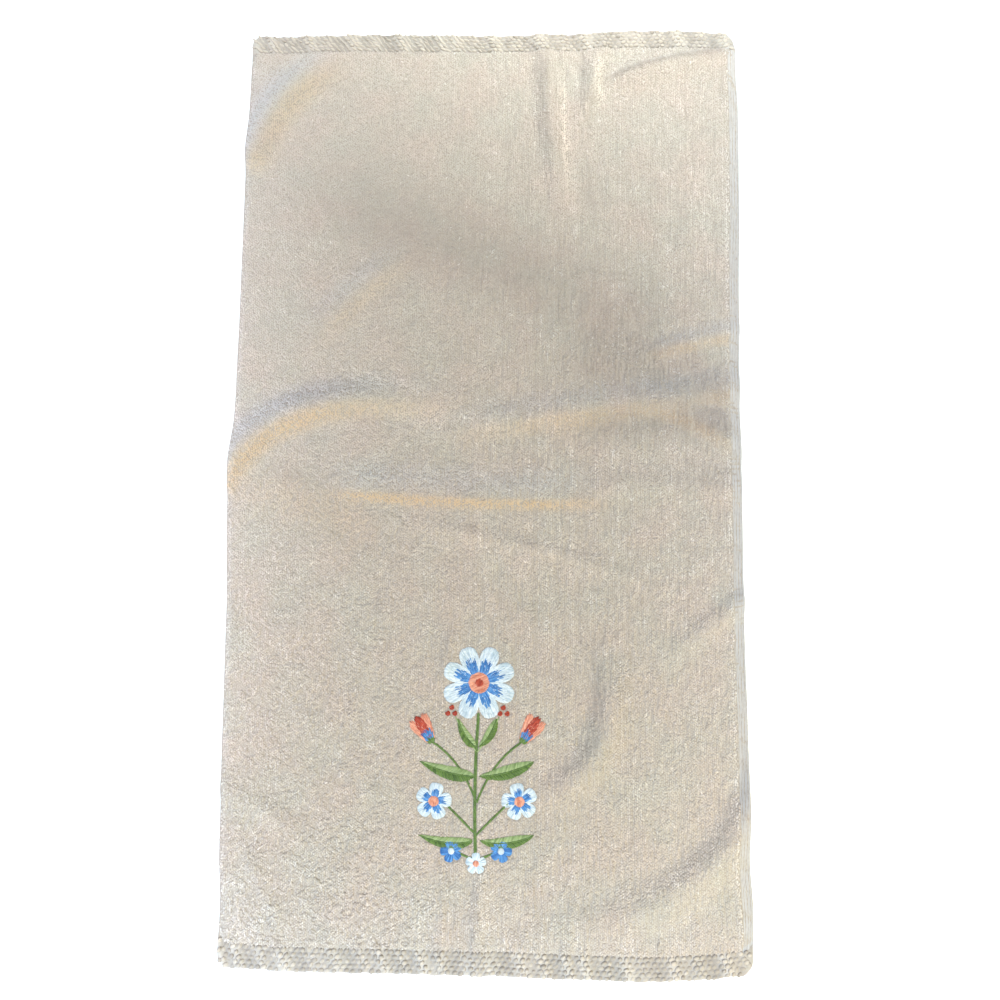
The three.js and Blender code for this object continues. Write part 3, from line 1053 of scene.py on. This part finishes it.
def newMaterial(name, roughness, sheen, sheenRoughness=0.5):
    material = bpy.data.materials.new(name)
    material.use_nodes = True
    shader = material.node_tree.nodes["Principled BSDF"]
    shader.inputs["Roughness"].default_value = roughness
    shader.inputs["Sheen Weight"].default_value = sheen
    shader.inputs["Sheen Roughness"].default_value = sheenRoughness
    return material, shader


def addNode(material, kind, **settings):
    made = material.node_tree.nodes.new(kind)
    for name, value in settings.items():
        if name in made.inputs:
            made.inputs[name].default_value = value
        else:
            setattr(made, name, value)
    return made


def wire(material, source, target):
    material.node_tree.links.new(source, target)


def objectNoise(material, scale, detail=2.0, stretch=(1, 1, 1)):
    where = addNode(material, "ShaderNodeTexCoord")
    mapping = addNode(material, "ShaderNodeMapping")
    mapping.inputs["Scale"].default_value = stretch
    wire(material, where.outputs["Object"], mapping.inputs["Vector"])
    made = addNode(material, "ShaderNodeTexNoise", Scale=scale, Detail=detail)
    wire(material, mapping.outputs["Vector"], made.inputs["Vector"])
    return made


def ramp(material, factor, stops):
    made = addNode(material, "ShaderNodeValToRGB")
    made.color_ramp.elements[0].position = stops[0][0]
    made.color_ramp.elements[0].color = (*stops[0][1], 1)
    made.color_ramp.elements[1].position = stops[-1][0]
    made.color_ramp.elements[1].color = (*stops[-1][1], 1)
    for position, colour in stops[1:-1]:
        made.color_ramp.elements.new(position).color = (*colour, 1)
    wire(material, factor, made.inputs["Fac"])
    return made


def blendColours(material, factor, a, b, mode="MIX"):
    made = addNode(material, "ShaderNodeMix", data_type="RGBA", blend_type=mode)
    inputs = [s for s in made.inputs if s.type == "RGBA"]
    if isinstance(factor, float):
        made.inputs[0].default_value = factor
    else:
        wire(material, factor, made.inputs[0])
    for socket, value in zip(inputs, (a, b)):
        if isinstance(value, tuple):
            socket.default_value = (*value, 1)
        else:
            wire(material, value, socket)
    return [s for s in made.outputs if s.type == "RGBA"][0]


finish = {
    # the pile is painted this dark at its roots, a painted shade
    "oatmealRootShade": (0.27, 0.23, 0.18),
    "oatmeal": (0.52, 0.465, 0.385),
    "oatmealTip": (0.66, 0.605, 0.52),
    "pinkish": (0.545, 0.455, 0.39),
    "greenish": (0.495, 0.475, 0.405),
    "hemGrey": (0.316, 0.281, 0.228),
    "hemPale": (0.508, 0.452, 0.37),
    "hemGapShade": (0.07, 0.065, 0.055),
    "sparkle": (0.84, 0.80, 0.73),
    "paintedCoolLight": (0.475, 0.495, 0.51),  # painted cool light on the old folds' far sides; the next row is painted warm light on their near sides
    "paintedWarmLight": (0.55, 0.38, 0.20),
    # the ground between the tufts is painted darker, a painted shade
    "groundShadeDark": (0.25, 0.22, 0.18),
    "groundShadeLight": (0.42, 0.375, 0.31),
    "wovenDark": (0.22, 0.203, 0.175),
    "wovenLight": (0.46, 0.425, 0.365),
    "cordDark": (0.39, 0.38, 0.365),
    "cordLight": (0.47, 0.46, 0.44),
    "darkTuft": 0.72,  # as a share of oatmeal
    "paintedLightShare": 0.45,  # how much of its side's painted light a fully tinted tuft takes on
    "paintedShadeLoss": 0.5,  # how much darker the painted shade makes the pile
    "mottled": {"pile": 0.42, "ground": 0.15, "hem": 0.1},
    "gapShadeHigh": 0.62,  # up to this share of a float's height it is painted dark, a painted shade of the gap beside it
}


def mottle(material, colour, place):
    # soft patches of the yarn's two casts
    patches = objectNoise(material, scale=26, detail=2.5)
    stops = [(0.35, finish["pinkish"]), (0.65, finish["greenish"])]
    twoCasts = ramp(material, patches.outputs["Fac"], stops)
    return blendColours(material, finish["mottled"][place], colour, twoCasts.outputs["Color"])


def pileMaterial():
    material, shader = newMaterial("velour pile", roughness=0.92, sheen=0.35)
    tone = addNode(material, "ShaderNodeAttribute", attribute_name="tone")
    tip = addNode(material, "ShaderNodeAttribute", attribute_name="tip")
    darkest = tuple(c * finish["darkTuft"] for c in finish["oatmeal"])
    byTone = ramp(material, tone.outputs["Fac"], [
        (0, darkest), (0.5, finish["oatmeal"]), (0.9, finish["oatmealTip"]), (1, finish["sparkle"]),
    ])
    # each tuft is painted darker towards its root, a painted shade
    rootShaded = blendColours(material, tip.outputs["Fac"], finish["oatmealRootShade"], byTone.outputs["Color"])
    # painted shade, or painted highlight below nought, from the strokes
    paintedShadeBy = addNode(material, "ShaderNodeAttribute", attribute_name="shade")
    unshaded = addNode(material, "ShaderNodeMath", operation="MULTIPLY_ADD")
    wire(material, paintedShadeBy.outputs["Fac"], unshaded.inputs[0])
    unshaded.inputs[1].default_value = -finish["paintedShadeLoss"]
    unshaded.inputs[2].default_value = 1
    # painted cool or warm light on the old folds' sides
    cast = addNode(material, "ShaderNodeAttribute", attribute_name="cast")
    side = addNode(material, "ShaderNodeMath", operation="GREATER_THAN")
    wire(material, cast.outputs["Fac"], side.inputs[0])
    side.inputs[1].default_value = 0
    sides = blendColours(material, side.outputs[0], finish["paintedCoolLight"], finish["paintedWarmLight"])
    strength = addNode(material, "ShaderNodeMath", operation="ABSOLUTE")
    wire(material, cast.outputs["Fac"], strength.inputs[0])
    share = addNode(material, "ShaderNodeMath", operation="MULTIPLY")
    wire(material, strength.outputs[0], share.inputs[0])
    share.inputs[1].default_value = finish["paintedLightShare"]
    colour = blendColours(material, share.outputs[0], mottle(material, rootShaded, "pile"), sides)
    colour = blendColours(material, 1.0, colour, unshaded.outputs[0], "MULTIPLY")
    wire(material, colour, shader.inputs["Base Color"])
    return material


def groundMaterial():
    material, shader = newMaterial("terry ground", roughness=0.95, sheen=0.2)
    fine = objectNoise(material, scale=700, detail=3, stretch=(1, 0.6, 1))
    inHem = addNode(material, "ShaderNodeAttribute", attribute_name="hem")
    tone = addNode(material, "ShaderNodeAttribute", attribute_name="tone")
    # the ground between the tufts is painted darker, a painted shade
    rootShaded = ramp(material, fine.outputs["Fac"], [(0.3, finish["groundShadeDark"]), (0.7, finish["groundShadeLight"])])
    woven = ramp(material, tone.outputs["Fac"], [(0, finish["wovenDark"]), (1, finish["wovenLight"])])
    colour = blendColours(material, inHem.outputs["Fac"], rootShaded.outputs["Color"], woven.outputs["Color"])
    wire(material, mottle(material, colour, "ground"), shader.inputs["Base Color"])
    bump = addNode(material, "ShaderNodeBump", Strength=0.5, Distance=0.0004)
    wire(material, fine.outputs["Fac"], bump.inputs["Height"])
    wire(material, bump.outputs["Normal"], shader.inputs["Normal"])
    return material


def hemMaterial():
    material, shader = newMaterial("woven hem", roughness=0.9, sheen=0.2)
    tone = addNode(material, "ShaderNodeAttribute", attribute_name="tone")
    tip = addNode(material, "ShaderNodeAttribute", attribute_name="tip")
    byTone = ramp(material, tone.outputs["Fac"], [(0.1, finish["hemGrey"]), (0.9, finish["hemPale"])])
    # the float's lower part is painted dark, a painted shade of the gap beside it
    gap = addNode(material, "ShaderNodeMapRange")
    gap.inputs["From Max"].default_value = finish["gapShadeHigh"]
    wire(material, tip.outputs["Fac"], gap.inputs["Value"])
    rootShaded = blendColours(material, gap.outputs["Result"], finish["hemGapShade"], byTone.outputs["Color"])
    yarn = objectNoise(material, scale=1500, detail=2)
    bump = addNode(material, "ShaderNodeBump", Strength=0.35, Distance=0.0003)
    wire(material, yarn.outputs["Fac"], bump.inputs["Height"])
    wire(material, bump.outputs["Normal"], shader.inputs["Normal"])
    wire(material, mottle(material, rootShaded, "hem"), shader.inputs["Base Color"])
    return material


def selvedgeMaterial():
    material, shader = newMaterial("flat selvedge", roughness=0.85, sheen=0.2)
    fine = objectNoise(material, scale=900, detail=2, stretch=(1, 0.25, 1))
    colour = ramp(material, fine.outputs["Fac"], [(0.3, finish["cordDark"]), (0.7, finish["cordLight"])])
    wire(material, colour.outputs["Color"], shader.inputs["Base Color"])
    return material


threadColours = {
    "blue": ((0.022, 0.13, 0.37), (0.10, 0.31, 0.62)),
    "pale": ((0.44, 0.55, 0.61), (0.70, 0.77, 0.80)),
    "coral": ((0.56, 0.21, 0.13), (0.80, 0.42, 0.29)),
    "red": ((0.30, 0.033, 0.018), (0.50, 0.075, 0.036)),
    "leaf": ((0.055, 0.115, 0.018), (0.13, 0.23, 0.045)),
    "sprout": ((0.19, 0.28, 0.10), (0.35, 0.46, 0.21)),
}


def threadMaterial(colour):
    material, shader = newMaterial("silky thread " + colour, roughness=0.42, sheen=0.15, sheenRoughness=0.3)
    shader.inputs["Specular IOR Level"].default_value = 0.45
    tone = addNode(material, "ShaderNodeAttribute", attribute_name="tone")
    dark, light = threadColours[colour]
    byTone = ramp(material, tone.outputs["Fac"], [(0.1, dark), (0.9, light)])
    wire(material, byTone.outputs["Color"], shader.inputs["Base Color"])
    return material


# Build

towel = makeCloth(groundMaterial())
print("cloth made", len(towel.data.polygons))
sewSprig()
pileOfTufts = makePile(pileMaterial(), stitchedGround())
pips = makePips(hemMaterial())
selvedge = makeCords(selvedgeMaterial())
threads = [makeThreads(colour, threadMaterial(colour)) for colour in stitches]
print("stitches", {colour: len(lines) for colour, lines in stitches.items()})

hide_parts("towel")


# Studio

floorLook = {"half": 4, "roughness": 0.9, "colour": (0.93, 0.93, 0.925, 1)}


def makeFloor():
    bm = bmesh.new()
    bmesh.ops.create_grid(bm, x_segments=1, y_segments=1, size=floorLook["half"])
    mesh = bpy.data.meshes.new("floor")
    bm.to_mesh(mesh)
    bm.free()
    floor = bpy.data.objects.new("floor", mesh)
    bpy.context.scene.collection.objects.link(floor)
    material, shader = newMaterial("pale floor", floorLook["roughness"], sheen=0)
    shader.inputs["Base Color"].default_value = floorLook["colour"]
    mesh.materials.append(material)


def softLight(name, place, aim, size, power, colour, spread=180):
    lamp = bpy.data.lights.new(name, "AREA")
    lamp.shape = "RECTANGLE"
    lamp.size, lamp.size_y = size
    lamp.energy = power
    lamp.spread = math.radians(spread)
    lamp.color = colour
    holder = bpy.data.objects.new(name, lamp)
    holder.location = place
    holder.rotation_euler = (Vector(aim) - Vector(place)).to_track_quat("-Z", "Y").to_euler()
    holder.visible_camera = False
    bpy.context.scene.collection.objects.link(holder)


# lens and sensor in millimetres, distance in metres, lean back and roll in degrees
view = {
    "lens": 39.6,
    "sensor": 36,
    "clip": (0.01, 20),
    "distance": 0.879,
    "lean": 7.66,
    "roll": 0.43,
    "aim": (0.0103, -0.0179, 0),
}


def makeCamera():
    lean, roll = math.radians(view["lean"]), math.radians(view["roll"])
    lens = bpy.data.cameras.new("camera")
    lens.lens = view["lens"]
    lens.sensor_width = view["sensor"]
    lens.clip_start, lens.clip_end = view["clip"]
    camera = bpy.data.objects.new("camera", lens)
    back = Vector((0, -math.sin(lean), math.cos(lean)))
    turn = Matrix.Rotation(lean, 4, "X") @ Matrix.Rotation(roll, 4, "Z")
    camera.matrix_world = Matrix.Translation(Vector(view["aim"]) + back * view["distance"]) @ turn
    bpy.context.scene.collection.objects.link(camera)
    bpy.context.scene.camera = camera


makeFloor()
studio = {
    # place, aim, size, watts, colour, spread
    "top": ((0, 0, 1.6), (0, 0, 0), (1.3, 1.3), 20.0, (0.918, 0.923, 1), 180),
    "near": ((0, -0.9, 1.2), (0, 0, 0), (0.7, 0.7), 17.7, (0.85, 0.936, 1), 180),
    "nearRight": ((0.75, -0.85, 0.55), (0, 0, 0), (0.5, 0.3), 5.4, (1, 0.712, 0.06), 180),
    "farRight": ((0.16, 0.5, 0.4), (0.16, 0.5, 0), (0.3, 0.3), 0.84, (0.949, 1, 0.99), 105),
    "left": ((-0.46, 0, 0.3), (-0.46, 0, 0), (0.2, 0.8), 3.17, (0.745, 0.81, 1), 110),
    "right": ((0.46, 0, 0.3), (0.46, 0, 0), (0.2, 0.8), 1.7, (0.572, 0.74, 1), 110),
    "nearEnd": ((-0.1, -0.62, 0.27), (-0.1, -0.62, 0), (0.6, 0.2), 2.24, (0.52, 0.71, 1), 110),
    "farEnd": ((-0.05, 0.62, 0.3), (-0.05, 0.62, 0), (0.5, 0.15), 1.5, (0.9, 0.977, 1), 110),
    "far": ((0.1, 1.25, 0.4), (0, 0.1, 0), (0.9, 0.2), 0.5, (1, 0.913, 0.8), 180),
}
for name, lamp in studio.items():
    softLight(name, *lamp)
world = bpy.data.worlds.new("studio")
world.use_nodes = True
world.node_tree.nodes["Background"].inputs["Color"].default_value = (1, 1, 1, 1)
world.node_tree.nodes["Background"].inputs["Strength"].default_value = 0.02
bpy.context.scene.world = world
bpy.context.scene.view_settings.view_transform = "Standard"
bpy.context.scene.view_settings.look = "None"
makeCamera()
print("studio set")
